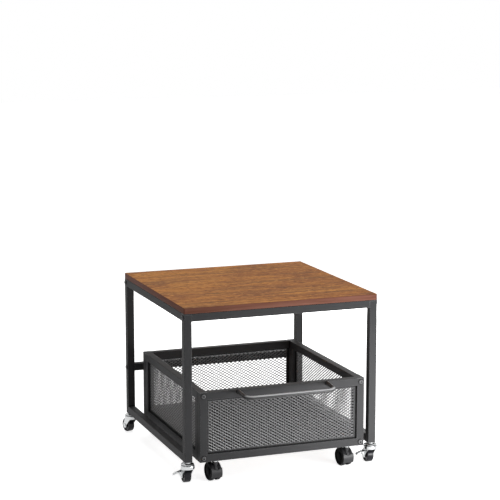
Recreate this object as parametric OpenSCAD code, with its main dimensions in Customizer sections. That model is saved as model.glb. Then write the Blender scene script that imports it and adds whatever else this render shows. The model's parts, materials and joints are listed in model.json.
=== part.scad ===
// Rolling appliance stand with a mesh drawer
// Millimetres, +Z up, floor at z = 0, origin under the middle of the whole object's box

/* [Board] */
// Width of the board, left to right
board_w = 520; // [420:1:640]
// Depth of the board, front to back
board_d = 515; // [500:1:640]
// Thickness of the board
board_t = 15; // [12:0.5:30]
// Radius of the board's upright corners
board_r = 3; // [1:0.5:8]

/* [Stand frame] */
// Side of the stand's square tubes
tube = 20; // [18:1:26]
// Wall of every tube
wall = 1.2; // [0.8:0.1:1.8]
// Radius of the tubes' long edges
tube_r = 1.5; // [1:0.1:3]
// Length of a leg with its cap
leg_h = 377.5; // [300:0.5:480]
// Height of the rear middle rail's centre above the foot of a leg
mid_rail_h = 130; // [60:0.5:280]
// Thickness of the cap's flange on top of a leg
cap_t = 2; // [1:0.5:2.5]
// Thickness of the plates that close the ends of the bolted rails
end_plate_t = 3; // [2:0.5:6]
// Distance of the board screws from the middle of each rail
screw_from_middle = 150; // [60:1:180]

/* [Fasteners] */
// Diameter of the frame and drawer bolts
bolt_d = 6; // [5:0.5:7]
// Diameter of a bolt's button head
bolt_head_d = 12; // [9:0.5:13]
// Height of a bolt's button head
bolt_head_h = 3.3; // [2.5:0.1:5]
// Across flats of the hexagon socket in a bolt's head
bolt_socket = 4; // [3:0.5:5]
// How far a bolt reaches into the rail or post that it holds
bolt_reach = 10; // [6:1:16]
// Diameter of the board screws
screw_d = 4; // [3:0.5:5]
// How far a board screw reaches into the board
screw_reach = 10; // [6:0.5:11]

/* [Stand casters] */
// Height of a stand caster, floor to the foot of the leg
caster_h = 56; // [54:0.5:75]
// Diameter of a stand wheel
wheel_d = 38; // [30:0.5:40]
// Width of a stand wheel
wheel_w = 18; // [12:0.5:20]
// How far a stand wheel trails behind its swivel
caster_trail = 14; // [6:0.5:16]
// Diameter of the fork's round crown
crown_d = 35.5; // [34:0.5:40]
// Height of the crown's rim
crown_h = 9; // [5:0.5:10]
// Thickness of the fork's sheet metal
fork_t = 2; // [1.5:0.1:2.5]
// Diameter of a stand caster's axle
axle_d = 6; // [5:0.5:8]
// Diameter of the threaded stems of all casters
stem_d = 8; // [6:0.5:10]
// Length of a stand caster's threaded stem
stem_l = 20; // [12:1:22]
// How far the pedal of a brake reaches out from the swivel
lever_reach = 35; // [32:0.5:40]
// Width of the brake's pedal
lever_w = 11; // [8:0.5:14]
// Angle that the rear left caster is turned to at rest
rear_left_turn = 15; // [0:1:45]

/* [Drawer] */
// Gap between the drawer and the legs, each side
drawer_gap = 17; // [8:0.5:40]
// Gap between the drawer's back and the rear middle rail
drawer_back_gap = 22.5; // [18:0.5:80]
// Height of the drawer's tube frames
drawer_h = 179; // [120:1:260]
// Height of the drawer's underside above the floor
drawer_z = 55; // [54.5:0.5:80]
// How far the drawer stands out in front of the legs
drawer_proud = 7.5; // [0:0.5:20]
// Side of the drawer's square tubes
drawer_tube = 20; // [18:1:25]

/* [Mesh] */
// Long way of a mesh opening, centre to centre
mesh_long = 22.6; // [20:0.1:40]
// Short way of a mesh opening, centre to centre
mesh_short = 14.8; // [13:0.1:26]
// Long way of an opening in the floor's mesh
floor_long = 41; // [36:0.5:60]
// Short way of an opening in the floor's mesh
floor_short = 26; // [24:0.5:40]
// Width of a mesh strand
strand = 3; // [1.5:0.1:4]
// Thickness of the mesh
mesh_t = 1.6; // [1:0.1:3]
// Width of the flat edge around a mesh
mesh_edge = 8; // [4:0.5:12]
// Thickness of the flat edge around a mesh
mesh_edge_t = 4; // [3:0.5:8]
// How far a mesh's edge lies behind the outer face of its frame
mesh_recess = 6; // [3:0.5:9]
// Height of the floor mesh's underside above the drawer's underside
floor_h = 8; // [4:0.5:14]

/* [Handle] */
// Distance between the handle's two posts
handle_w = 240; // [120:1:320]
// Distance of the bar's centre in front of the drawer
handle_out = 55; // [35:1:80]
// How far the bar hangs below the posts' roots
handle_drop = 5; // [0:0.5:8]
// Diameter of the handle's rod
rod_d = 10; // [8:0.5:14]
// Radius of the rod's bends, at its centre
rod_bend = 20; // [10:0.5:30]
// Diameter of the handle's screws
handle_screw_d = 5; // [4:0.5:6]
// How far a handle screw reaches into its post
handle_screw_reach = 12; // [8:0.5:16]

/* [Drawer casters] */
// Diameter of a twin wheel
twin_d = 48; // [40:0.5:48.5]
// Width of one wheel of a pair
twin_w = 11; // [8:0.5:14]
// Space between the two wheels of a pair
twin_gap = 8; // [8:0.5:14]
// How far a twin wheel trails behind its swivel
twin_trail = 14; // [12:0.5:18]
// Angle that the drawer's casters are turned to at rest
twin_turn = 6; // [0:1:30]
// Distance of a drawer caster's swivel from the drawer's side
twin_inset = 43.5; // [36:0.5:80]
// Length of a drawer caster's stem inside the tube
twin_stem_l = 14; // [8:0.5:16]
// Diameter of a twin wheel's axle
twin_axle_d = 5; // [4:0.5:6]

/* [Hidden] */
$fn = 48;
running_fit = 0.05;
hole_fit = 0.1;
seat_gap = 0.3;

// Stand frame
leg_x = board_w / 2 - tube / 2;
leg_y = board_d / 2 - tube / 2;
frame_top = caster_h + leg_h;
top_rail_z = frame_top - tube / 2;
bottom_rail_z = caster_h + tube / 2;
mid_rail_z = caster_h + mid_rail_h;
side_rail_l = board_d - 2 * tube;
cross_rail_l = board_w - 2 * tube;
cavity_r = max(0.4, tube_r - wall);
cap_plug_h = tube / 2 - cap_t - bolt_d / 2 - 1;
socket_h = stem_l + 4;
stem_top = caster_h + stem_l;

// Stand casters
wheel_r = wheel_d / 2;
axle_z = wheel_r;
cheek_in = wheel_w / 2 + 1.3;
cheek_out = cheek_in + fork_t;
crown_r = crown_d / 2;
race_h = 7.2;
race_bottom = caster_h - race_h;
crown_top = race_bottom - seat_gap;
crown_under = crown_top - fork_t;
rim_bottom = crown_top - crown_h;
fork_opening = wheel_d + 1.2;
boss_r = axle_d / 2 + 5;
king_d = 7;
lever_pivot_x = -cheek_out - 4.7;
lever_pivot_z = axle_z + 7.5;
lever_pin_d = 3;
lever_barrel_r = 3;
tread_round = 3;
ear_t = 1.5;

// Drawer
drawer_w = cross_rail_l - 2 * drawer_gap;
drawer_front = -board_d / 2 - drawer_proud;
drawer_back = leg_y - tube / 2 - drawer_back_gap;
drawer_d = drawer_back - drawer_front;
drawer_mid = (drawer_front + drawer_back) / 2;
drawer_top = drawer_z + drawer_h;
drawer_half = drawer_w / 2;
side_frame_l = drawer_d - 2 * drawer_tube;
inner_w = drawer_w - 2 * drawer_tube;
inner_l = side_frame_l - 2 * drawer_tube;
inner_h = drawer_h - 2 * drawer_tube;
drawer_bolt_x = drawer_half - drawer_tube / 2;
drawer_bolt_z = [drawer_z + drawer_tube / 2, drawer_top - drawer_tube / 2];
handle_z = drawer_top - rod_d / 2;
handle_tilt = atan(handle_drop / handle_out);
handle_reach = sqrt(handle_out * handle_out + handle_drop * handle_drop);

// Drawer casters
twin_r = twin_d / 2;
twin_x = drawer_half - twin_inset;
twin_front_y = drawer_front + drawer_tube / 2;
twin_back_y = drawer_back - drawer_tube / 2;
collar_h = 3;
hood_top = drawer_z - collar_h - seat_gap;
twin_body_w = twin_gap - 1;
twin_body_r = twin_r - 2;
shield_in = twin_r + 0.7;
shield_out = twin_r + 2.5;
shield_low = 12;
shield_high = twin_r + 13;
neck_z = twin_r + 6.5;
twin_pin_d = 5;
twin_pin_l = 12;

// Name, side and end of each corner, the turn of its caster at rest, and whether it has a brake
CORNERS = [
    ["front_left", -1, -1, 0, true],
    ["front_right", 1, -1, 0, true],
    ["rear_left", -1, 1, rear_left_turn, false],
    ["rear_right", 1, 1, 0, false]
];

// How far back from its swivel a stand wheel reaches when it is turned
function wheel_back(turn) =
    (caster_trail + wheel_r - tread_round) * cos(turn)
    + (wheel_w / 2 - tread_round) * sin(turn) + tread_round;

// Box of the whole object, which puts the origin under its middle
box_left = -leg_x - lever_reach;
box_right = max(board_w / 2 + bolt_head_h, leg_x + crown_r);
box_front = drawer_front - handle_out - rod_d / 2;
box_back = max(board_d / 2, leg_y + max([for (c = CORNERS) if (c[2] > 0) wheel_back(c[3])]));
origin_shift = [-(box_left + box_right) / 2, -(box_front + box_back) / 2, 0];

// Corners with a brake, and the two sides
BRAKED = [for (c = CORNERS) if (c[4]) c];
SIDES = [["left", -1], ["right", 1]];

coat = [0.13, 0.13, 0.135];
zinc = [0.78, 0.79, 0.8];
rubber = [0.07, 0.07, 0.075];
plastic = [0.16, 0.16, 0.165];
brown = [0.5, 0.33, 0.18];

// Points of an arc about the origin
function arc(r, from, to, steps) =
    [for (i = [0:steps]) let (a = from + (to - from) * i / steps) r * [cos(a), sin(a)]];

// Points of a centred rectangle with round corners
function round_rect(w, d, r) =
    let (corner = [[1, 1], [-1, 1], [-1, -1], [1, -1]])
    [for (q = [0:3]) for (p = arc(r, 90 * q, 90 * q + 90, 3))
        [corner[q][0] * (w / 2 - r), corner[q][1] * (d / 2 - r)] + p];

// Moves a piece from the middle of the stand to the object's own origin
module place() {
    translate(origin_shift) children();
}

// Turns what stands along Z to lie along X
module along_x() {
    rotate([0, 90, 0]) children();
}

// Turns what stands along Z to lie along Y
module along_y() {
    rotate([90, 0, 0]) children();
}

// Moves to the foot of a leg
module at_leg(corner) {
    translate([corner[1] * leg_x, corner[2] * leg_y, 0]) children();
}

// Moves to a stand caster and turns it to its rest
module at_caster(corner) {
    at_leg(corner) rotate([0, 0, corner[3]]) children();
}

// Moves to the swivel of a drawer caster and turns it to its rest
module at_twin(corner) {
    translate([corner[1] * twin_x, corner[2] < 0 ? twin_front_y : twin_back_y, 0])
        rotate([0, 0, twin_turn]) children();
}

// Outside of a square tube with round edges, centred, along Z
module bar(side, length) {
    linear_extrude(length, center = true) polygon(round_rect(side, side, tube_r));
}

// Inside of a square tube, centred, along Z
module cavity(side, length) {
    linear_extrude(length, center = true) polygon(round_rect(side - 2 * wall, side - 2 * wall, cavity_r));
}

// Through hole of a given diameter, centred, along Z
module hole(d, length) {
    cylinder(d = d + 2 * hole_fit, h = length, center = true);
}

// Button-head bolt with a hexagon socket, head above z = 0 and shank below
module button_bolt(length) {
    r = bolt_head_d / 2;
    difference() {
        union() {
            rotate_extrude()
                polygon([
                    [0, 0], [r, 0], [r, 0.3 * bolt_head_h], [0.86 * r, 0.68 * bolt_head_h],
                    [0.62 * r, 0.92 * bolt_head_h], [0.4 * r, bolt_head_h], [0, bolt_head_h]
                ]);
            translate([0, 0, -length]) cylinder(d = bolt_d, h = length + 0.5);
        }
        translate([0, 0, 0.35 * bolt_head_h])
            cylinder(d = bolt_socket / cos(30), h = bolt_head_h, $fn = 6);
    }
}

// Pan-head screw with a cross recess, head below z = 0 and shank above
module pan_screw(d, length) {
    difference() {
        union() {
            rotate_extrude()
                polygon([[0, 0], [d, 0], [d, -0.25 * d], [0.7 * d, -0.6 * d], [0, -0.65 * d]]);
            cylinder(d = d, h = length);
        }
        for (a = [0, 90]) {
            rotate([0, 0, a]) translate([-0.45 * d, -0.1 * d, -d]) cube([0.9 * d, 0.2 * d, 0.65 * d]);
        }
    }
}

// Where the board screws stand: two in each top rail
function screw_places() = concat(
    [for (x = [-1, 1], y = [-1, 1]) [x * leg_x, y * screw_from_middle]],
    [for (x = [-1, 1], y = [-1, 1]) [x * screw_from_middle, y * leg_y]]
);

module top_board() {
    color(brown) place() difference() {
        translate([0, 0, frame_top]) linear_extrude(board_t) polygon(round_rect(board_w, board_d, board_r));
        for (p = screw_places()) {
            translate([p[0], p[1], frame_top]) hole(screw_d, 2 * screw_reach + 1);
        }
    }
}

module board_screws() {
    color(zinc) place() for (p = screw_places()) {
        translate([p[0], p[1], frame_top - tube]) pan_screw(screw_d, tube + screw_reach);
    }
}

// Heights of the bolts in a leg: rear legs also hold the middle rail
function bolt_heights(corner) = corner[2] > 0 ? [top_rail_z, mid_rail_z] : [top_rail_z];

module leg(corner) {
    length = leg_h - cap_t;
    color(coat) place() at_leg(corner) difference() {
        translate([0, 0, caster_h + length / 2]) bar(tube, length);
        translate([0, 0, caster_h + length / 2]) cavity(tube, length + 2);
        for (z = bolt_heights(corner)) {
            translate([0, 0, z]) along_x() hole(bolt_d, tube + 2);
        }
    }
}

module leg_caps() {
    plug = tube - 2 * wall - 2 * hole_fit;
    color(rubber) place() for (c = CORNERS) {
        at_leg(c) {
            translate([0, 0, frame_top - cap_t / 2]) bar(tube, cap_t);
            translate([0, 0, frame_top - cap_t - cap_plug_h / 2])
                linear_extrude(cap_plug_h, center = true) polygon(round_rect(plug, plug, cavity_r));
        }
    }
}

module frame_bolts() {
    color(coat) place() for (c = CORNERS) {
        for (z = bolt_heights(c)) {
            at_leg(c) translate([c[1] * tube / 2, 0, z]) rotate([0, c[1] * 90, 0])
                button_bolt(tube + bolt_reach);
        }
    }
}

// Open tube of a welded side frame, along Y
module side_rail(side, z, screwed) {
    color(coat) place() translate([side * leg_x, 0, z]) difference() {
        along_y() bar(tube, side_rail_l);
        along_y() cavity(tube, side_rail_l + 2);
        if (screwed) {
            for (y = [-1, 1]) {
                translate([0, y * screw_from_middle, 0]) hole(screw_d, tube + 2);
            }
        }
    }
}

module top_rail(side) {
    side_rail(side, top_rail_z, true);
}

module bottom_rail(side) {
    side_rail(side, bottom_rail_z, false);
}

// Closed tube that is bolted between two legs, along X
module cross_rail(y, z, screwed) {
    color(coat) place() translate([0, y, z]) difference() {
        along_x() bar(tube, cross_rail_l);
        along_x() cavity(tube, cross_rail_l - 2 * end_plate_t);
        along_x() hole(bolt_d, cross_rail_l + 2);
        if (screwed) {
            for (x = [-1, 1]) {
                translate([x * screw_from_middle, 0, 0]) hole(screw_d, tube + 2);
            }
        }
    }
}

module front_top_rail() {
    cross_rail(-leg_y, top_rail_z, true);
}

module rear_top_rail() {
    cross_rail(leg_y, top_rail_z, true);
}

module rear_mid_rail() {
    cross_rail(leg_y, mid_rail_z, false);
}

module caster_sockets() {
    side = tube - 2 * wall - 2 * hole_fit;
    color(plastic) place() for (c = CORNERS) {
        at_leg(c) difference() {
            translate([0, 0, caster_h + socket_h / 2])
                linear_extrude(socket_h, center = true) polygon(round_rect(side, side, cavity_r));
            translate([0, 0, caster_h + socket_h / 2]) hole(stem_d, socket_h + 2);
        }
    }
}

// Threaded stem, upper race and king pin in one, fixed to the leg
module caster_stems() {
    king_head = crown_under - seat_gap;
    color(zinc) place() for (c = CORNERS) {
        at_leg(c) rotate_extrude()
            polygon([
                [0, stem_top], [stem_d / 2 - 1, stem_top], [stem_d / 2, stem_top - 1],
                [stem_d / 2, caster_h], [0.56 * crown_r, caster_h], [0.56 * crown_r, caster_h - 1.5],
                [0.8 * crown_r, race_bottom + 4], [0.93 * crown_r, race_bottom + 2.8],
                [0.93 * crown_r, race_bottom + 2], [0.74 * crown_r, race_bottom],
                [king_d / 2, race_bottom], [king_d / 2, king_head],
                [king_d / 2 + 2.5, king_head], [king_d / 2 + 1.5, king_head - 2], [0, king_head - 2]
            ]);
    }
}

// Side outline of a fork's cheek, Y across and Z up
module cheek_outline() {
    spread = sqrt(crown_r * crown_r - cheek_out * cheek_out) - 0.2;
    polygon([
        [-spread, rim_bottom], [-spread, crown_under + 0.5], [spread, crown_under + 0.5],
        [spread, rim_bottom], [caster_trail + 0.9 * boss_r, axle_z], [caster_trail - 0.9 * boss_r, axle_z]
    ]);
    translate([caster_trail, axle_z]) circle(boss_r);
}

// Round crown with a turned-down rim, from which the cheeks grow
module crown() {
    rotate_extrude() polygon(concat(
        [[king_d / 2 + running_fit, crown_under], [king_d / 2 + running_fit, crown_top]],
        [for (p = arc(fork_t, 90, 0, 4)) [crown_r - fork_t, crown_top - fork_t] + p],
        [
            [crown_r, rim_bottom], [crown_r - fork_t, rim_bottom],
            [crown_r - fork_t, crown_under - 0.5], [crown_r - fork_t - 0.5, crown_under]
        ]
    ));
}

// Pressed ears that carry the brake lever on the left cheek
module brake_ears() {
    inside = lever_w / 2 + seat_gap;
    for (side = [-1, 1]) {
        translate([0, caster_trail + side * (inside + ear_t / 2) + ear_t / 2, 0]) along_y()
            linear_extrude(ear_t) difference() {
                union() {
                    polygon([
                        [-cheek_in - 0.5, axle_z - 6.5], [-cheek_in - 0.5, lever_pivot_z + 5],
                        [lever_pivot_x, lever_pivot_z + 0.9 * lever_barrel_r],
                        [lever_pivot_x - 0.6 * lever_barrel_r, lever_pivot_z - 0.6 * lever_barrel_r]
                    ]);
                    translate([lever_pivot_x, lever_pivot_z]) circle(lever_barrel_r);
                }
                translate([lever_pivot_x, lever_pivot_z]) circle(lever_pin_d / 2 + running_fit);
            }
    }
}

module fork(corner) {
    color(zinc) place() at_caster(corner) difference() {
        union() {
            crown();
            for (side = [-1, 1]) {
                translate([side * (cheek_in + fork_t / 2) - fork_t / 2, 0, 0]) rotate([90, 0, 90])
                    linear_extrude(fork_t) cheek_outline();
            }
            if (corner[4]) {
                brake_ears();
            }
        }
        translate([-cheek_in, -crown_d, 0]) cube([2 * cheek_in, 2 * crown_d, fork_opening]);
        translate([0, caster_trail, axle_z]) along_x()
            cylinder(d = axle_d + 2 * running_fit, h = crown_d, center = true);
    }
}

module axle(corner) {
    head_t = 1.4;
    length = 2 * (cheek_out + head_t);
    color(zinc) place() at_caster(corner) translate([0, caster_trail, axle_z]) along_x() {
        cylinder(d = axle_d, h = length, center = true);
        for (side = [-1, 1]) {
            translate([0, 0, side * (cheek_out + head_t / 2)])
                cylinder(d = axle_d + 3, h = head_t, center = true);
        }
    }
}

// Half outline of a stand wheel: radius, then distance from the middle of the tread
function wheel_outline() =
    let (half = wheel_w / 2, round = tread_round)
    concat(
        [[axle_d / 2 + running_fit, half + 0.8], [axle_d / 2 + 4, half + 0.8]],
        [[axle_d / 2 + 4.6, half - 2.5], [0.71 * wheel_r, half - 2.5], [0.77 * wheel_r, half]],
        [for (p = arc(round, 90, 0, 5)) [wheel_r - round, half - round] + p]
    );

module wheel(corner) {
    half = wheel_outline();
    mirrored = [for (i = [len(half) - 1:-1:0]) [half[i][0], -half[i][1]]];
    color(rubber) place() at_caster(corner) translate([0, caster_trail, axle_z]) along_x()
        rotate_extrude() polygon(concat(half, mirrored));
}

module brake_lever(corner) {
    knee = lever_pivot_x - 6;
    tip = [-lever_reach - 1, lever_pivot_z - 4.5];
    end_r = lever_w / 2 + 1;
    color(zinc) place() at_caster(corner) translate([0, caster_trail, 0]) {
        intersection() {
            translate([0, lever_w / 2, 0]) along_y() linear_extrude(lever_w) {
                translate([lever_pivot_x, lever_pivot_z]) circle(lever_barrel_r);
                polygon([
                    [lever_pivot_x, lever_pivot_z + 2.6], [knee, lever_pivot_z + 2.2], tip + [0, 1],
                    tip - [0, 1], [knee, lever_pivot_z - 0.2], [lever_pivot_x, lever_pivot_z - 0.6]
                ]);
            }
            linear_extrude(2 * caster_h) polygon(concat(
                [[0, -end_r], [0, end_r]],
                [for (p = arc(end_r, 90, 270, 12)) [end_r - lever_reach, 0] + p]
            ));
        }
        translate([lever_pivot_x, 0, lever_pivot_z]) along_y()
            cylinder(d = lever_pin_d, h = lever_w + 2 * (seat_gap + ear_t), center = true);
    }
}

// Welded frame of four tubes, upright in X and Z, centred, thickness along Y
module tube_frame(w, h) {
    side = drawer_tube;
    post_x = w / 2 - side / 2;
    rail_z = h / 2 - side / 2;
    difference() {
        union() {
            for (x = [-1, 1]) {
                translate([x * post_x, 0, 0]) bar(side, h);
            }
            for (z = [-1, 1]) {
                translate([0, 0, z * rail_z]) along_x() bar(side, w - side);
            }
        }
        for (x = [-1, 1]) {
            translate([x * post_x, 0, 0]) cavity(side, h - 2 * wall);
        }
        for (z = [-1, 1]) {
            translate([0, 0, z * rail_z]) along_x() cavity(side, w - side);
        }
    }
}

// Front or rear frame of the drawer, with its bolt holes and caster stem holes
module end_frame(y) {
    difference() {
        translate([0, y, drawer_z + drawer_h / 2]) tube_frame(drawer_w, drawer_h);
        for (x = [-1, 1], z = drawer_bolt_z) {
            translate([x * drawer_bolt_x, y, z]) along_y() hole(bolt_d, drawer_tube + 2);
        }
        for (x = [-1, 1]) {
            translate([x * twin_x, y, drawer_z]) hole(stem_d, 4 * wall);
        }
    }
}

module drawer_front_frame() {
    color(coat) place() difference() {
        end_frame(drawer_front + drawer_tube / 2);
        for (x = [-1, 1]) {
            translate([x * handle_w / 2, drawer_front + drawer_tube / 2, handle_z]) along_y()
                hole(handle_screw_d, drawer_tube + 2);
        }
    }
}

module drawer_rear_frame() {
    color(coat) place() end_frame(drawer_back - drawer_tube / 2);
}

// Side frame between the front and rear frames, with bolt holes in the posts' outer walls
module side_frame(side) {
    color(coat) place() difference() {
        translate([side * drawer_bolt_x, drawer_mid, drawer_z + drawer_h / 2]) rotate([0, 0, 90])
            tube_frame(side_frame_l, drawer_h);
        for (y = [drawer_front + drawer_tube, drawer_back - drawer_tube], z = drawer_bolt_z) {
            translate([side * drawer_bolt_x, y, z]) along_y() hole(bolt_d, 4 * wall);
        }
    }
}

// Flat sheet of staggered diamond openings with a plain margin, centred
module diamond_sheet(w, h, long, short) {
    open = 1 - strand * sqrt(long * long + short * short) / (long * short);
    rows = floor((h - 2 * mesh_edge - open * short) / short);
    columns = floor((w - 2 * mesh_edge - open * long) / long);
    diamond = [[open * long / 2, 0], [0, open * short / 2], [-open * long / 2, 0], [0, -open * short / 2]];
    difference() {
        square([w, h], center = true);
        for (row = [0:2 * rows]) {
            for (column = [0:columns - row % 2]) {
                translate([
                    (column - columns / 2 + (row % 2) / 2) * long,
                    (row - rows) * short / 2
                ]) polygon(diamond);
            }
        }
    }
}

// Mesh with a thicker flat edge, lying in X and Y, its edge from z = 0 up
module mesh_panel(w, h, long, short) {
    translate([0, 0, (mesh_edge_t - mesh_t) / 2]) linear_extrude(mesh_t) diamond_sheet(w, h, long, short);
    linear_extrude(mesh_edge_t) difference() {
        square([w, h], center = true);
        square([w - 2 * mesh_edge, h - 2 * mesh_edge], center = true);
    }
}

module drawer_front_mesh() {
    color(coat) place()
        translate([0, drawer_front + mesh_recess + mesh_edge_t, drawer_z + drawer_h / 2]) along_y()
            mesh_panel(inner_w, inner_h, mesh_long, mesh_short);
}

module drawer_rear_mesh() {
    color(coat) place()
        translate([0, drawer_back - mesh_recess, drawer_z + drawer_h / 2]) along_y()
            mesh_panel(inner_w, inner_h, mesh_long, mesh_short);
}

module side_mesh(side) {
    outside = drawer_half - mesh_recess - mesh_edge_t / 2;
    color(coat) place()
        translate([side * outside - mesh_edge_t / 2, drawer_mid, drawer_z + drawer_h / 2])
            rotate([90, 0, 90]) mesh_panel(inner_l, inner_h, mesh_long, mesh_short);
}

module drawer_floor_mesh() {
    color(coat) place() translate([0, drawer_mid, drawer_z + floor_h])
        mesh_panel(inner_w, side_frame_l, floor_long, floor_short);
}

module drawer_bolts() {
    length = drawer_tube + bolt_reach;
    color(coat) place() for (x = [-1, 1], z = drawer_bolt_z) {
        translate([x * drawer_bolt_x, drawer_front, z]) rotate([90, 0, 0]) button_bolt(length);
        translate([x * drawer_bolt_x, drawer_back, z]) rotate([-90, 0, 0]) button_bolt(length);
    }
}

// Bent rod in the X and Y plane, its roots at y = 0 and its bar towards -Y
module bent_rod(reach) {
    half = handle_w / 2;
    for (side = [-1, 1]) {
        translate([side * half, rod_d, 0]) along_y() cylinder(d = rod_d, h = reach - rod_bend + rod_d);
        translate([side * (half - rod_bend), -reach + rod_bend, 0])
            rotate([0, 0, side > 0 ? -90 : 180])
                rotate_extrude(angle = 90) translate([rod_bend, 0]) circle(d = rod_d);
    }
    translate([0, -reach, 0]) along_x() cylinder(d = rod_d, h = handle_w - 2 * rod_bend, center = true);
}

module drawer_handle() {
    color(coat) place() translate([0, drawer_front, handle_z]) difference() {
        rotate([handle_tilt, 0, 0]) bent_rod(handle_reach);
        translate([-handle_w, 0, -2 * rod_d]) cube([2 * handle_w, 4 * rod_d, 4 * rod_d]);
        for (x = [-1, 1]) {
            translate([x * handle_w / 2, 0, 0]) along_y() hole(handle_screw_d, 2 * handle_screw_reach + 4);
        }
    }
}

module handle_screws() {
    color(zinc) place() for (x = [-1, 1]) {
        translate([x * handle_w / 2, drawer_front + drawer_tube, handle_z]) rotate([90, 0, 0])
            pan_screw(handle_screw_d, drawer_tube + handle_screw_reach);
    }
}

// Stem, collar and swivel pin of the drawer's casters
module drawer_caster_stems() {
    top = drawer_z + twin_stem_l;
    pin_end = hood_top - twin_pin_l;
    color(zinc) place() for (c = CORNERS) {
        at_twin(c) rotate_extrude()
            polygon([
                [0, top], [stem_d / 2 - 1, top], [stem_d / 2, top - 1], [stem_d / 2, drawer_z],
                [stem_d / 2 + 1.5, drawer_z], [stem_d / 2 + 1.5, drawer_z - collar_h],
                [twin_pin_d / 2, drawer_z - collar_h], [twin_pin_d / 2, pin_end + 1],
                [twin_pin_d / 2 - 1, pin_end], [0, pin_end]
            ]);
    }
}

// Side outline of the web between two wheels, Y across and Z up
module web_outline() {
    forward = twin_trail - (shield_in - twin_body_r) - 0.5;
    intersection() {
        translate([forward, twin_r]) circle(twin_body_r);
        translate([forward - twin_r, shield_low]) square([2 * twin_r, 2 * twin_r]);
    }
    polygon([
        [-0.5, neck_z], [-0.5, hood_top - 3], [0.5 * twin_trail, hood_top - 3],
        [twin_trail, twin_r + 0.85 * twin_body_r], [twin_trail, twin_r]
    ]);
}

// Curved shield in front of both wheels, with a V-shaped neck for the stem
module shield() {
    width = 2 * twin_w + twin_gap - 1;
    above = asin((shield_high - twin_r) / shield_out);
    below = asin((twin_r - shield_low) / shield_out);
    difference() {
        translate([0, twin_trail, twin_r]) along_x() rotate([0, 0, 270 - above])
            rotate_extrude(angle = above + below)
                translate([shield_in, -width / 2]) square([shield_out - shield_in, width]);
        translate([0, twin_trail, 0]) along_y() linear_extrude(2 * twin_d)
            polygon([
                [0, neck_z], [width / 2 + 1, shield_high + 0.6], [width / 2 + 1, twin_d],
                [-width / 2 - 1, twin_d], [-width / 2 - 1, shield_high + 0.6]
            ]);
    }
}

// Tapered boss round the stem, hollowed where the wheels turn
module boss() {
    difference() {
        translate([0, 0, neck_z]) cylinder(r1 = 2.5, r2 = 6.5, h = hood_top - neck_z);
        for (side = [-1, 1]) {
            translate([side * (twin_body_w / 2 - 0.3 + twin_w), twin_trail, twin_r]) along_x()
                cylinder(r = shield_in + 0.4, h = 2 * twin_w, center = true);
        }
    }
}

// Moulded body of a drawer caster: web, stem boss and the shield in front of the wheels
module hood(corner) {
    color(plastic) place() at_twin(corner) difference() {
        union() {
            shield();
            translate([-twin_body_w / 2, 0, 0]) rotate([90, 0, 90])
                linear_extrude(twin_body_w) web_outline();
            boss();
        }
        translate([0, 0, hood_top - twin_pin_l - 0.5])
            cylinder(d = twin_pin_d + 2 * running_fit, h = 2 * twin_pin_l);
        translate([0, twin_trail, twin_r]) along_x()
            cylinder(d = twin_axle_d + 2 * running_fit, h = 2 * twin_gap, center = true);
    }
}

module twin_axle(corner) {
    color(zinc) place() at_twin(corner) translate([0, twin_trail, twin_r]) along_x()
        cylinder(d = twin_axle_d, h = twin_gap + 2 * twin_w - 4, center = true);
}

// Outline of one wheel of a pair: radius, then distance from its inner face
function twin_outline() =
    let (round = 4, bore = twin_axle_d / 2 + 0.02, deep = twin_w - 2)
    concat(
        [[bore, 0], [twin_r - 1, 0], [twin_r, 1]],
        [for (p = arc(round, 0, 90, 4)) [twin_r - round, twin_w - round] + p],
        [[0.82 * twin_r, twin_w], [0.78 * twin_r, twin_w - 1.5], [0.42 * twin_r, twin_w - 1.5]],
        [[0.38 * twin_r, twin_w - 0.4], [0, twin_w - 0.4], [0, deep], [bore, deep]]
    );

module twin_wheels(corner) {
    color(rubber) place() at_twin(corner) translate([0, twin_trail, twin_r]) {
        for (side = [-1, 1]) {
            rotate([0, side * 90, 0]) translate([0, 0, twin_gap / 2])
                rotate_extrude() polygon(twin_outline());
        }
    }
}

top_board();
front_top_rail();
rear_top_rail();
rear_mid_rail();
leg_caps();
frame_bolts();
board_screws();
caster_sockets();
caster_stems();
for (c = CORNERS) leg(c);
for (s = SIDES) top_rail(s[1]);
for (s = SIDES) bottom_rail(s[1]);
for (c = CORNERS) fork(c);
for (c = CORNERS) axle(c);
for (c = CORNERS) wheel(c);
for (c = BRAKED) brake_lever(c);
drawer_front_frame();
drawer_rear_frame();
for (s = SIDES) side_frame(s[1]);
drawer_front_mesh();
drawer_rear_mesh();
for (s = SIDES) side_mesh(s[1]);
drawer_floor_mesh();
drawer_handle();
handle_screws();
drawer_bolts();
drawer_caster_stems();
for (c = CORNERS) hood(c);
for (c = CORNERS) twin_axle(c);
for (c = CORNERS) twin_wheels(c);
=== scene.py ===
"""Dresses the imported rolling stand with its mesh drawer: camera, studio light and procedural finishes."""

import json
import math

import bmesh
import bpy
from mathutils import Matrix, Vector


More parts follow.
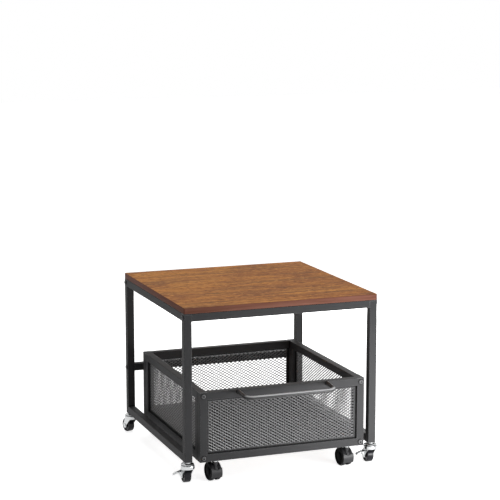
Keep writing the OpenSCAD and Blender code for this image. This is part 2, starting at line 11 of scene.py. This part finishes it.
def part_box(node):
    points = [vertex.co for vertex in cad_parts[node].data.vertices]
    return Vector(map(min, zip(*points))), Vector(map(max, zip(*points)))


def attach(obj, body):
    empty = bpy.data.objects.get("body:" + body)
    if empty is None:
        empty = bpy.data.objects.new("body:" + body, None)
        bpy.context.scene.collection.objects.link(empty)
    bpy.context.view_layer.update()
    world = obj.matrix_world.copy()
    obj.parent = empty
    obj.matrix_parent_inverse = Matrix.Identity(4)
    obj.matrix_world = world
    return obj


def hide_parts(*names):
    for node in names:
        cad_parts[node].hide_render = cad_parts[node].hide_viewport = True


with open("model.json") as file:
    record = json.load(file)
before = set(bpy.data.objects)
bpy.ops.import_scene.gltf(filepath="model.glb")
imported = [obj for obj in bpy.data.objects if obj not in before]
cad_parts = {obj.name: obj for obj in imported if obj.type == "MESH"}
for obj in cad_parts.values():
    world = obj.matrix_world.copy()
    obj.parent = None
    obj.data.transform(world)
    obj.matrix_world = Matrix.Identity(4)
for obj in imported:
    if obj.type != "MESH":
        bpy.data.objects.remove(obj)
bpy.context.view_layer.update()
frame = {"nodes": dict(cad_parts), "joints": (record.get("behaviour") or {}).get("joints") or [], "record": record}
nodes = frame["nodes"]
scene = bpy.context.scene
scene.view_settings.view_transform = "Standard"

CORNERS = ("front_left", "front_right", "rear_left", "rear_right")
RIGHT, BACK, UP = Vector((1, 0, 0)), Vector((0, 1, 0)), Vector((0, 0, 1))

# Sizes in metres: surface relief, edge wear with a painted highlight, and the reach of painted shade and of the
# painted highlight on the handle's bar
FINE_RELIEF = 0.0002
WOOD_RELIEF = 0.0003
WEAR_AND_SHEEN_WIDTH = 0.0018
# Reach of the painted shade in the coat's tight corners
COAT_SHADE_REACH = 0.004
# Reach of the painted shade in bolt sockets and round the heads
BOLT_SHADE_REACH = 0.008
# Depths behind the handle's front: the painted highlight covers the bar up to the first and fades out by the
# second
PAINTED_HIGHLIGHT_FROM, PAINTED_HIGHLIGHT_TO = 0.009, 0.018

# Sizes in metres: the board, the expanded metal and the drawer's wheels
BOARD_CORNER = 0.003
BOARD_EASE = 0.0012
OPENING_PITCH_LONG = 0.0125
OPENING_PITCH_SHORT = 0.00765
STRAND_WIDTH = 0.00175
SHEET_THICKNESS = 0.0009
STRAND_LEAN = 0.0007
FLOOR_STRAND_LEAN = -0.0004
BAR_WIDTH = 0.0055
BAR_EASE = 0.0006
WHEEL_BORE = 0.0026
WHEEL_HALF_GAP = 0.004
WHEEL_STEPS = 72

# Colours of the powder coat
COAT_DARK = (0.04, 0.04, 0.041)
COAT_LIGHT = (0.052, 0.052, 0.054)
# Pale edge colour: wear along the edges, and a painted highlight where rounded edges catch light
COAT_EDGE_WEAR_AND_SHEEN = (0.19, 0.19, 0.194)
# Colour of the painted highlight on the up-facing side of the handle's bar
COAT_PAINTED_HIGHLIGHT = (0.42, 0.425, 0.435)
COAT_SHADED = (0.013, 0.013, 0.0133)

# Stage and camera: metres, millimetres of lens and degrees
FLOOR_REACH = 12
FLOOR_GLOW = 0.8
WORLD_LIGHT, WORLD_SEEN = 0.2, 1.0
CAMERA_LENS, CAMERA_SENSOR = 116.64, 36
CAMERA_FAR = 60
CAMERA_FROM_BOARD = (-1.4769, -3.9420)
CAMERA_HEIGHT = 1.2512
CAMERA_TILT, CAMERA_TURN = 9.63, -20.66


# Materials: small helpers that add and join nodes
class Shader:
    """One material, with short calls for its nodes. Coordinates are metres in the object's frame."""

    def __init__(self, name):
        self.material = bpy.data.materials.new(name)
        self.material.use_nodes = True
        self.tree = self.material.node_tree
        self.bsdf = self.tree.nodes["Principled BSDF"]
        self.coords = self.add("ShaderNodeTexCoord").outputs["Object"]

    def add(self, kind, **values):
        node = self.tree.nodes.new(kind)
        for key, value in values.items():
            setattr(node, key, value)
        return node

    def link(self, source, target):
        self.tree.links.new(source, target)

    def feed(self, socket, value):
        """Links a socket's value, or sets a plain one."""
        if isinstance(value, bpy.types.NodeSocket):
            self.link(value, socket)
        elif socket.type == "RGBA":
            socket.default_value = (*value, 1)
        else:
            socket.default_value = value

    def noise(self, scale, detail, rough=0.5, distortion=0.0, offset=(0, 0, 0)):
        """Noise with about this many cells to the metre along x, y and z."""
        stretch = self.add("ShaderNodeMapping")
        stretch.inputs["Scale"].default_value = scale
        stretch.inputs["Location"].default_value = offset
        self.link(self.coords, stretch.inputs["Vector"])
        node = self.add("ShaderNodeTexNoise")
        node.inputs["Scale"].default_value = 1.0
        node.inputs["Detail"].default_value = detail
        node.inputs["Roughness"].default_value = rough
        node.inputs["Distortion"].default_value = distortion
        self.link(stretch.outputs["Vector"], node.inputs["Vector"])
        return node.outputs["Fac"]

    def even_noise(self, scale, detail):
        return self.noise((scale, scale, scale), detail)

    def ramp(self, factor, stops):
        node = self.add("ShaderNodeValToRGB")
        ramp = node.color_ramp
        while len(ramp.elements) < len(stops):
            ramp.elements.new(0.5)
        for element, (place, colour) in zip(ramp.elements, stops):
            element.position = place
            element.color = (*colour, 1)
        self.link(factor, node.inputs["Fac"])
        return node.outputs["Color"]

    def mask(self, factor, start, end, first=0.0, last=1.0):
        """A grey ramp from the first level to the last."""
        return self.ramp(factor, [(start, (first, first, first)), (end, (last, last, last))])

    def mix(self, factor, a, b, blend="MIX"):
        node = self.add("ShaderNodeMix", data_type="RGBA", blend_type=blend)
        for key, value in (("Factor", factor), ("A", a), ("B", b)):
            self.feed(node.inputs[key], value)
        return node.outputs["Result"]

    def span(self, factor, low, high):
        node = self.add("ShaderNodeMapRange")
        node.inputs["To Min"].default_value = low
        node.inputs["To Max"].default_value = high
        self.link(factor, node.inputs["Value"])
        return node.outputs["Result"]

    def edges(self, width):
        """1 along the edges of a solid, fading to 0 on its faces."""
        soft = self.add("ShaderNodeBevel", samples=6)
        soft.inputs["Radius"].default_value = width
        flat = self.add("ShaderNodeNewGeometry").outputs["True Normal"]
        dot = self.add("ShaderNodeVectorMath", operation="DOT_PRODUCT")
        self.link(soft.outputs["Normal"], dot.inputs[0])
        self.link(flat, dot.inputs[1])
        return self.mask(dot.outputs["Value"], 0.9, 0.99, 1.0, 0.0)

    def painted_shade_mask(self, reach):
        """Mask for painted shade: 0 in sockets and tight corners, rising to 1 on open faces."""
        node = self.add("ShaderNodeAmbientOcclusion", samples=8)
        node.inputs["Distance"].default_value = reach
        return self.mask(node.outputs["AO"], 0.72, 0.96)

    def facing_up(self, low, high):
        """0 where the surface faces sideways or down, rising to 1 where it faces up."""
        parts = self.add("ShaderNodeSeparateXYZ")
        self.link(self.add("ShaderNodeNewGeometry").outputs["Normal"], parts.inputs[0])
        return self.mask(parts.outputs["Z"], low, high)

    def in_front(self, near, far):
        """1 in front of the first depth, falling to 0 behind the second."""
        parts = self.add("ShaderNodeSeparateXYZ")
        self.link(self.coords, parts.inputs[0])
        node = self.add("ShaderNodeMapRange")
        for key, value in (("From Min", near), ("From Max", far), ("To Min", 1.0), ("To Max", 0.0)):
            node.inputs[key].default_value = value
        self.link(parts.outputs["Y"], node.inputs["Value"])
        return node.outputs["Result"]

    def bump(self, height, strength, distance=FINE_RELIEF):
        node = self.add("ShaderNodeBump")
        node.inputs["Strength"].default_value = strength
        node.inputs["Distance"].default_value = distance
        self.link(height, node.inputs["Height"])
        self.link(node.outputs["Normal"], self.bsdf.inputs["Normal"])

    def set(self, **values):
        """Feeds the surface's sockets and gives back the material."""
        for key, value in values.items():
            self.feed(self.bsdf.inputs[key.replace("_", " ")], value)
        return self.material


def powder_coat(name, low, high, shine, texture=0.25, tone=1.0, painted_highlight=False, shaded=False):
    """Grained coat with paler edges, which are wear and a painted highlight; it can also paint a highlight onto
    the top of the handle's bar, paint shade into tight corners, and scale its colours by tone, which below 1 is
    painted shade.
    """
    s = Shader(name)
    dark, light, edge = ([tone * c for c in colour] for colour in (COAT_DARK, COAT_LIGHT, COAT_EDGE_WEAR_AND_SHEEN))
    grain = s.even_noise(1400, 2)
    cloud = s.even_noise(9, 3)
    # Pale edges: wear, and a painted highlight along the edges
    colour = s.mix(s.edges(WEAR_AND_SHEEN_WIDTH), s.mix(cloud, dark, light), edge)
    # Painted highlight: where the handle's bar faces up, the coat is painted pale
    if painted_highlight:
        bar_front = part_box("drawer_handle")[0].y
        near_bar = s.in_front(bar_front + PAINTED_HIGHLIGHT_FROM, bar_front + PAINTED_HIGHLIGHT_TO)
        bar_highlight = s.mix(1.0, s.facing_up(0.35, 0.65), near_bar, "MULTIPLY")
        colour = s.mix(bar_highlight, colour, COAT_PAINTED_HIGHLIGHT)
    # Painted shade: the coat is darkened in tight corners
    if shaded:
        colour = s.mix(s.painted_shade_mask(COAT_SHADE_REACH), COAT_SHADED, colour)
    s.bump(grain, texture)
    return s.set(Base_Color=colour, Roughness=s.span(grain, low, high), Specular_IOR_Level=shine)


def rustic_board():
    """Brown wood with grain along x: patches, dark streaks, lit fibres, flecks, knots and saw marks."""
    s = Shader("rustic_board")
    fibre = s.noise((14, 420, 60), 5, rough=0.65)
    streak = s.noise((3.2, 55, 20), 6, rough=0.6, distortion=0.6, offset=(3.1, 0.4, 0))
    patch = s.noise((4.5, 11, 5), 5, rough=0.62, distortion=1.1, offset=(1.7, 2.2, 0))
    fleck = s.noise((62, 105, 60), 4, rough=0.7, distortion=0.5, offset=(0.7, 1.3, 0))
    saw = s.noise((260, 9, 20), 2)
    knot = s.noise((22, 60, 20), 2, distortion=1.6, offset=(0.2, 5.1, 0))
    tone = s.ramp(patch, [(0.32, (0.15, 0.044, 0.018)), (0.44, (0.28, 0.092, 0.026)),
                          (0.54, (0.43, 0.165, 0.036)), (0.63, (0.5, 0.21, 0.048)),
                          (0.74, (0.26, 0.08, 0.026))])
    streaked = s.mix(s.mask(streak, 0.36, 0.52, 0.85, 0.0), tone, (0.085, 0.03, 0.012))
    lit = s.mix(s.span(fibre, 0.1, 0.7), streaked, s.mix(0.5, streaked, (0.6, 0.28, 0.085)))
    golden = s.mix(s.mask(fleck, 0.3, 0.47, 0.7, 0.0), lit, (0.68, 0.32, 0.085))
    flecked = s.mix(s.mask(fleck, 0.53, 0.7, 0.0, 0.85), golden, (0.1, 0.036, 0.014))
    knotted = s.mix(s.mask(knot, 0.66, 0.76, 0.0, 0.8), flecked, (0.055, 0.024, 0.012))
    marked = s.mix(s.mask(saw, 0.62, 0.75, 0.0, 0.35), knotted, (0.06, 0.03, 0.015))
    s.bump(fibre, 0.2, WOOD_RELIEF)
    return s.set(Base_Color=marked, Roughness=s.span(streak, 0.5, 0.64), Specular_IOR_Level=0.045)


def edge_band():
    """Darker band round the board, with its grain lying level."""
    s = Shader("board_edge")
    fibre = s.noise((10, 10, 500), 5, rough=0.6)
    streak = s.noise((5, 5, 120), 4, distortion=0.5, offset=(0.3, 0.9, 0))
    tone = s.ramp(streak, [(0.3, (0.085, 0.031, 0.019)), (0.55, (0.15, 0.06, 0.04)),
                           (0.75, (0.2, 0.088, 0.062))])
    colour = s.mix(s.span(fibre, 0.0, 0.5), tone, (0.235, 0.11, 0.08))
    s.bump(fibre, 0.15)
    return s.set(Base_Color=colour, Roughness=s.span(streak, 0.46, 0.6), Specular_IOR_Level=0.03)


def bright_zinc():
    """Plated steel with fine scuffs and a cloudy tone."""
    s = Shader("bright_zinc")
    scuff = s.noise((220, 220, 90), 4, rough=0.6)
    cloud = s.even_noise(60, 2)
    colour = s.mix(cloud, (0.42, 0.43, 0.435), (0.57, 0.58, 0.585))
    s.bump(scuff, 0.06)
    return s.set(Base_Color=colour, Metallic=1.0, Roughness=s.span(scuff, 0.12, 0.28))


def black_oxide():
    """Blackened bolts with a paler crown; the socket and the foot of the head are darkened as painted shade."""
    s = Shader("black_oxide")
    grain = s.even_noise(900, 3)
    # Painted shade: the socket and the foot of the head go near black
    colour = s.mix(s.painted_shade_mask(BOLT_SHADE_REACH), (0.001, 0.001, 0.0011), (0.12, 0.12, 0.123))
    s.bump(grain, 0.12)
    return s.set(Base_Color=colour, Roughness=s.span(grain, 0.14, 0.22), Specular_IOR_Level=0.12)


def moulded(name, dark, light, low, high, grain_scale, shine):
    """Moulded plastic or rubber: two tones, fine grain and a roughness between low and high."""
    s = Shader(name)
    grain = s.even_noise(grain_scale, 3)
    colour = s.mix(s.even_noise(40, 2), dark, light)
    s.bump(grain, 0.12)
    return s.set(Base_Color=colour, Roughness=s.span(grain, low, high), Specular_IOR_Level=shine)


COAT = powder_coat("powder_coat", 0.42, 0.56, 0.04, shaded=True)
STRAND = powder_coat("strand_coat", 0.34, 0.46, 0.5)
# The drawer floor's coat is the frame's coat darkened (tone 0.4) as painted shade
SHADED_FLOOR_COAT = powder_coat("floor_coat_painted_shade", 0.5, 0.62, 0.02, tone=0.4)
# The handle's coat is the frame's coat darkened (tone 0.7) as painted shade on the bar, with the painted highlight
# on the bar's top
HANDLE = powder_coat("handle_coat_painted_light", 0.24, 0.34, 0.25, texture=0.02, tone=0.7, painted_highlight=True)
BOARD = rustic_board()
EDGE = edge_band()
ZINC = bright_zinc()
BOLT = black_oxide()
CAP = moulded("black_plastic", (0.016, 0.016, 0.017), (0.024, 0.024, 0.026), 0.4, 0.55, 1800, 0.15)
RUBBER = moulded("black_wheel", (0.006, 0.006, 0.008), (0.01, 0.01, 0.013), 0.2, 0.34, 1500, 0.2)
HOOD = moulded("hood_plastic", (0.03, 0.03, 0.031), (0.042, 0.042, 0.044), 0.3, 0.42, 1300, 0.15)
TREAD = moulded("tread_plastic", (0.01, 0.01, 0.011), (0.018, 0.018, 0.019), 0.3, 0.42, 1100, 0.08)
DISC = moulded("disc_plastic", (0.004, 0.004, 0.0045), (0.008, 0.008, 0.0085), 0.4, 0.55, 1500, 0.015)

SLOT_MATERIAL = {"board": BOARD, "coat": COAT, "cap": CAP, "zinc": ZINC, "wheel": RUBBER, "hood": HOOD,
                 "twin_wheel": TREAD}
NODE_MATERIAL = {"frame_bolts": BOLT, "drawer_bolts": BOLT, "drawer_handle": HANDLE}
for part in frame["record"]["subparts"]:
    materials = nodes[part["node"]].data.materials
    materials.clear()
    materials.append(NODE_MATERIAL.get(part["node"], SLOT_MATERIAL[part["material_slot"]]))


# Pieces: meshes made here in place of plainer solids
def piece(name, mesh_data, body, node, materials):
    """Turns a bmesh into an object that rides on a body and stands for a node."""
    mesh = bpy.data.meshes.new(name)
    bmesh.ops.recalc_face_normals(mesh_data, faces=mesh_data.faces)
    mesh_data.to_mesh(mesh)
    mesh_data.free()
    for material in materials:
        mesh.materials.append(material)
    obj = bpy.data.objects.new(name, mesh)
    scene.collection.objects.link(obj)
    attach(obj, body)
    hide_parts(node)


def rounded_outline(low, high, radius, steps=5):
    """Points of a rectangle with round corners, counter-clockwise."""
    points = []
    for quarter, (x, y) in enumerate(((1, 1), (0, 1), (0, 0), (1, 0))):
        cx = high[0] - radius if x else low[0] + radius
        cy = high[1] - radius if y else low[1] + radius
        for i in range(steps + 1):
            a = math.radians(90 * quarter + 90 * i / steps)
            points.append((cx + radius * math.cos(a), cy + radius * math.sin(a)))
    return points


def make_board():
    """The board with round corners and eased rims; its sides take the edge band."""
    low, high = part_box("top_board")
    bm = bmesh.new()
    ring = [bm.verts.new((x, y, low.z)) for x, y in rounded_outline(low, high, BOARD_CORNER)]
    bottom = bm.faces.new(ring)
    grown = bmesh.ops.extrude_face_region(bm, geom=[bottom])["geom"]
    bmesh.ops.translate(bm, verts=[g for g in grown if isinstance(g, bmesh.types.BMVert)],
                        vec=(0, 0, high.z - low.z))
    rims = [e for e in bm.edges if abs(e.verts[0].co.z - e.verts[1].co.z) < 1e-6]
    bmesh.ops.bevel(bm, geom=rims, offset=BOARD_EASE, segments=3, profile=0.5, affect="EDGES")
    for face in bm.faces:
        face.smooth = len(face.verts) == 4 and abs(face.normal.z) < 0.99
        face.material_index = 0 if abs(face.normal.z) > 0.9 else 1
    piece("board_top", bm, "stand", "top_board", [BOARD, EDGE])


def diamond_lattice(bm, place, width, height, lean):
    """Adds an expanded metal sheet: diamond openings, with strands that lean out of its plane."""
    long, short = OPENING_PITCH_LONG, OPENING_PITCH_SHORT
    open_part = 1 - STRAND_WIDTH * math.hypot(long, short) / (long * short)
    half_l, half_s = open_part * long / 2, open_part * short / 2
    columns, rows = int(width / long) + 2, int(height / (short / 2)) + 2
    corner = {}

    def hole(i, j):
        """The eight corners of one opening: right, top, left and bottom, front then back."""
        if (i, j) not in corner:
            x, y = (i + (j % 2) / 2) * long, j * short / 2
            flat = ((half_l, 0, 0), (0, half_s, lean), (-half_l, 0, 0), (0, -half_s, -lean))
            corner[i, j] = [[bm.verts.new(place @ Vector((x + u, y + v, w + side * SHEET_THICKNESS / 2)))
                             for u, v, w in flat] for side in (1, -1)]
        return corner[i, j]

    span_i, span_j = columns // 2 + 1, rows // 2 + 1
    cells = [(i, j) for j in range(-span_j, span_j + 1) for i in range(-span_i, span_i + 1)]
    for i, j in cells:
        hole(i, j)
    for i, j in cells:
        here = hole(i, j)
        for k in range(4):
            bm.faces.new((here[0][k], here[0][(k + 1) % 4], here[1][(k + 1) % 4], here[1][k]))
        up_right, up_left = (i + j % 2, j + 1), (i - 1 + j % 2, j + 1)
        above = (i, j + 2)
        for side in (0, 1):
            me = here[side]
            if up_right in corner:
                other = corner[up_right][side]
                bm.faces.new((me[0], me[1], other[2], other[3]))
            if up_left in corner:
                other = corner[up_left][side]
                bm.faces.new((me[1], me[2], other[3], other[0]))
            if up_right in corner and up_left in corner and above in corner:
                right, left, top = corner[up_right][side], corner[up_left][side], corner[above][side]
                bm.faces.new((me[1], right[2], top[3], left[0]))


def trim(bm, place, width, height):
    """Cuts a sheet to its rectangle and closes the cut strands."""
    spin = place.to_3x3()
    for axis, half in ((Vector((1, 0, 0)), width / 2), (Vector((0, 1, 0)), height / 2)):
        for side in (1, -1):
            bmesh.ops.bisect_plane(bm, geom=bm.verts[:] + bm.edges[:] + bm.faces[:],
                                   plane_co=place @ (axis * half * side), plane_no=spin @ (axis * side),
                                   clear_outer=True)
    bmesh.ops.holes_fill(bm, edges=[e for e in bm.edges if e.is_boundary], sides=12)


def edge_bars(bm, place, width, height, thick):
    """Adds the flat bar that frames a mesh, with softened edges."""
    bar, soft = BAR_WIDTH, BAR_EASE
    rings = []
    for inset, depth in ((0, -thick / 2), (0, thick / 2 - soft), (soft, thick / 2), (bar - soft, thick / 2),
                         (bar, thick / 2 - soft), (bar, -thick / 2 + soft), (bar - soft, -thick / 2)):
        x, y = width / 2 - inset, height / 2 - inset
        rings.append([bm.verts.new(place @ Vector((sx * x, sy * y, depth)))
                      for sx, sy in ((1, 1), (-1, 1), (-1, -1), (1, -1))])
    for a, b in zip(rings, rings[1:] + rings[:1]):
        for k in range(4):
            bm.faces.new((a[k], a[(k + 1) % 4], b[(k + 1) % 4], b[k]))


def make_mesh(node, across, up, lean=STRAND_LEAN, strands=STRAND):
    """Real-pitch expanded metal for one panel; across and up are its directions."""
    low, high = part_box(node)
    size = high - low
    out = across.cross(up)
    width, height, thick = (abs(size.dot(v)) for v in (across, up, out))
    place = Matrix((across, up, out)).transposed().to_4x4()
    place.translation = (low + high) / 2
    bm = bmesh.new()
    diamond_lattice(bm, place, width, height, lean)
    trim(bm, place, width - BAR_WIDTH, height - BAR_WIDTH)
    for face in bm.faces:
        face.material_index = 1
    edge_bars(bm, place, width, height, thick)
    piece(node.replace("drawer_", "expanded_"), bm, "drawer", node, [COAT, strands])


def make_twin_wheels(corner):
    """A pair of moulded wheels: rounded tread, sunk dark disc and a hub cap."""
    node = f"drawer_{corner}_twin_wheels"
    low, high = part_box(node)
    middle = (low + high) / 2
    axis = next(Vector(j["axis"]) for j in frame["joints"] if j["name"] == f"drawer_{corner}_roll")
    flat = UP.cross(axis)
    half = max(abs((v.co - middle).dot(axis)) for v in nodes[node].data.vertices)
    r = (high.z - low.z) / 2
    gap = WHEEL_HALF_GAP
    inner_face = [(WHEEL_BORE, gap), (0.55 * r, gap), (0.6 * r, gap + 0.001)]
    tread = [(r - 0.0014, gap), (r - 0.0004, gap + 0.0005), (r, gap + 0.0016), (r, half - 0.004),
             (r - 0.0005, half - 0.0022), (r - 0.0016, half - 0.0008), (r - 0.0032, half - 0.0001)]
    disc = [(r - 0.0046, half), (r - 0.0052, half - 0.0005), (r - 0.0058, half - 0.0016),
            (0.5 * r, half - 0.0022), (0.44 * r, half - 0.0021), (0.41 * r, half - 0.0009),
            (0.36 * r, half - 0.0004), (0.0, half - 0.0003)]
    tread_from = len(inner_face)
    tread_to = tread_from + len(tread) - 1
    turns = [2 * math.pi * k / WHEEL_STEPS for k in range(WHEEL_STEPS)]
    bm = bmesh.new()
    for side in (1, -1):
        rings = []
        for radial, along in inner_face + tread + disc:
            centre = middle + side * along * axis
            if radial == 0:
                rings.append([bm.verts.new(centre)])
                continue
            rings.append([bm.verts.new(centre + radial * (math.cos(t) * flat + math.sin(t) * UP))
                          for t in turns])
        for number, (a, b) in enumerate(zip(rings, rings[1:])):
            for k in range(WHEEL_STEPS):
                n = (k + 1) % WHEEL_STEPS
                corners = (a[k], a[n], b[0]) if len(b) == 1 else (a[k], a[n], b[n], b[k])
                face = bm.faces.new(corners)
                face.smooth = True
                face.material_index = 0 if tread_from <= number < tread_to else 1
        bm.faces.new(rings[0]).material_index = 1
    body = f"drawer_{corner}_caster_wheels"
    piece(f"drawer_{corner}_wheel_pair", bm, body, node, [TREAD, DISC])


make_board()
make_mesh("drawer_front_mesh", RIGHT, UP)
make_mesh("drawer_rear_mesh", -RIGHT, UP)
make_mesh("drawer_left_mesh", -BACK, UP)
make_mesh("drawer_right_mesh", BACK, UP)
# The drawer's floor mesh takes the coat darkened as painted shade
make_mesh("drawer_floor_mesh", RIGHT, BACK, FLOOR_STRAND_LEAN, SHADED_FLOOR_COAT)
for name in CORNERS:
    make_twin_wheels(name)


# Stage: pale floor, white surround, soft lamps and the camera
def seen_directly(tree):
    """1 for a ray from the camera, a gloss or a clear surface, and 0 for one that only carries light."""
    path = tree.nodes.new("ShaderNodeLightPath")
    seen = path.outputs["Is Camera Ray"]
    for kind in ("Is Glossy Ray", "Is Transmission Ray"):
        either = tree.nodes.new("ShaderNodeMath")
        either.operation = "MAXIMUM"
        tree.links.new(seen, either.inputs[0])
        tree.links.new(path.outputs[kind], either.inputs[1])
        seen = either.outputs[0]
    return seen


def make_floor():
    bm = bmesh.new()
    bmesh.ops.create_grid(bm, x_segments=1, y_segments=1, size=FLOOR_REACH)
    mesh = bpy.data.meshes.new("floor")
    bm.to_mesh(mesh)
    bm.free()
    floor = bpy.data.objects.new("floor", mesh)
    scene.collection.objects.link(floor)
    s = Shader("pale_floor")
    glow = s.span(seen_directly(s.tree), 0.0, FLOOR_GLOW)
    mesh.materials.append(s.set(Base_Color=(0.9, 0.9, 0.9), Roughness=0.9, Emission_Color=(1, 1, 1),
                                Emission_Strength=glow))


def make_world():
    world = bpy.data.worlds.new("studio")
    world.use_nodes = True
    scene.world = world
    tree = world.node_tree
    background = tree.nodes["Background"]
    background.inputs["Color"].default_value = (1, 1, 1, 1)
    strength = tree.nodes.new("ShaderNodeMapRange")
    strength.inputs["To Min"].default_value = WORLD_LIGHT
    strength.inputs["To Max"].default_value = WORLD_SEEN
    tree.links.new(seen_directly(tree), strength.inputs["Value"])
    tree.links.new(strength.outputs["Result"], background.inputs["Strength"])


def make_lamp(name, place, aim, size, power):
    lamp = bpy.data.lights.new(name, "AREA")
    lamp.shape = "RECTANGLE"
    lamp.size, lamp.size_y = size
    lamp.energy = power
    obj = bpy.data.objects.new(name, lamp)
    obj.location = place
    obj.rotation_euler = (Vector(aim) - Vector(place)).to_track_quat("-Z", "Y").to_euler()
    obj.visible_camera = False
    scene.collection.objects.link(obj)


def make_camera():
    camera = bpy.data.cameras.new("camera")
    camera.sensor_width = CAMERA_SENSOR
    camera.lens = CAMERA_LENS
    camera.clip_end = CAMERA_FAR
    obj = bpy.data.objects.new("camera", camera)
    low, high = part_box("top_board")
    middle = (low + high) / 2
    across, along = CAMERA_FROM_BOARD
    obj.location = (middle.x + across, middle.y + along, CAMERA_HEIGHT)
    obj.rotation_euler = (math.radians(90 - CAMERA_TILT), 0, math.radians(CAMERA_TURN))
    scene.collection.objects.link(obj)
    scene.camera = obj


make_floor()
make_world()
make_lamp("key", place=(0.42, -0.74, 0.1), aim=(0.24, -0.26, 0.12), size=(0.4, 0.2), power=5.8)
make_lamp("strip", place=(0.25, -0.8, 0.85), aim=(0.0, -0.34, 0.22), size=(0.7, 0.4), power=1.2)
make_lamp("left", place=(-2.4, -0.6, 1.3), aim=(0, 0, 0.2), size=(1.4, 1.8), power=2)
make_lamp("back", place=(0.95, 1.8, 0.24), aim=(0, 0.2, 0.22), size=(1.0, 0.4), power=12)
make_lamp("top", place=(0.3, 0.2, 3.0), aim=(0, 0, 0.4), size=(2.4, 2.4), power=42)
make_camera()
